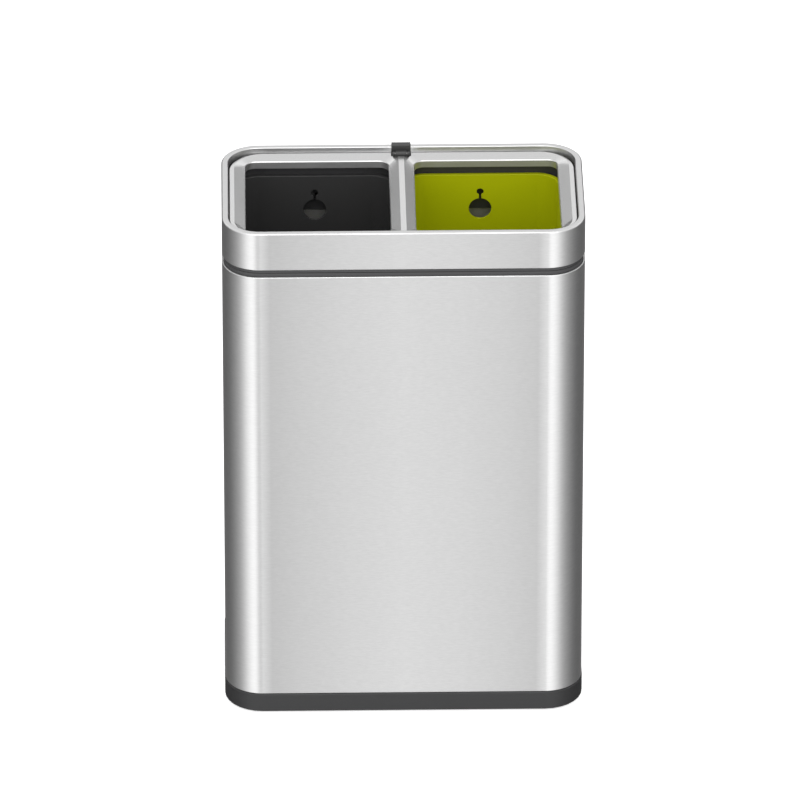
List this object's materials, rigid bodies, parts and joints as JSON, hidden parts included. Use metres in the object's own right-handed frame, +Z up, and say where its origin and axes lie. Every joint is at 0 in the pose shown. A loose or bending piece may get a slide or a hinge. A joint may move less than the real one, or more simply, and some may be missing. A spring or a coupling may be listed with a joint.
{
  "type": "double recycling bin",
  "caption": "Free-standing open-top recycling bin: steel sleeve and ring on moulded bands, a hinged insert frame with paired wells, and lift-out buckets side by side.",
  "frame": {"origin": "on the floor, under the middle of the bin", "axes": "+X to the right seen from the front, +Y to the rear where the hinge block is, +Z up"},
  "size_m": [0.4014, 0.2134, 0.611],
  "materials": {
    "brushed_steel": "fine horizontal brushing, satin",
    "fixings": "plain zinc-plated steel",
    "dark_plastic": "moulded, fine matt texture",
    "black_plastic": "moulded, satin",
    "green_plastic": "moulded, satin",
    "rubber": "matt"
  },
  "bodies": {
    "bin_body": {"base_tray": "dark_plastic", "body_sleeve": "brushed_steel", "body_collar": "dark_plastic", "ring_carrier": "dark_plastic", "top_ring": "brushed_steel", "foot_front_left": "rubber", "foot_front_right": "rubber", "foot_rear_left": "rubber", "foot_rear_right": "rubber", "base_screw_front_left": "fixings", "base_screw_front_right": "fixings", "base_screw_rear_left": "fixings", "base_screw_rear_right": "fixings", "carrier_screw_front_left": "fixings", "carrier_screw_front_right": "fixings", "carrier_screw_rear_left": "fixings", "carrier_screw_rear_right": "fixings", "bumper_front_left": "rubber", "bumper_front_right": "rubber", "bumper_side_left": "rubber", "bumper_side_right": "rubber"},
    "hinge_hanger": {"hinge_block": "black_plastic", "hinge_pin": "fixings"},
    "insert": {"insert_frame": "brushed_steel", "hinge_lug_left": "black_plastic", "hinge_lug_right": "black_plastic"},
    "black_bucket": {"bucket_black": "black_plastic"},
    "green_bucket": {"bucket_green": "green_plastic"}
  },
  "joints": [
    {"name": "insert_lift", "type": "slide", "parent": "bin_body", "child": "hinge_hanger", "axis": [0, 0, 1], "range_m": [0, 0.64]},
    {"name": "insert_hinge", "type": "hinge", "parent": "hinge_hanger", "child": "insert", "pos_m": [0, 0.0922, 0.603], "axis": [-1, 0, 0], "range_deg": [0, 95]},
    {"name": "black_bucket_lift", "type": "slide", "parent": "bin_body", "child": "black_bucket", "axis": [0, 0, 1], "range_m": [0, 0.61]},
    {"name": "green_bucket_lift", "type": "slide", "parent": "bin_body", "child": "green_bucket", "axis": [0, 0, 1], "range_m": [0, 0.61]}
  ],
  "couplings": [
    {"joint": "black_bucket_lift", "follows": "insert_lift", "ratio": 0.95},
    {"joint": "green_bucket_lift", "follows": "insert_lift", "ratio": 0.95}
  ]
}
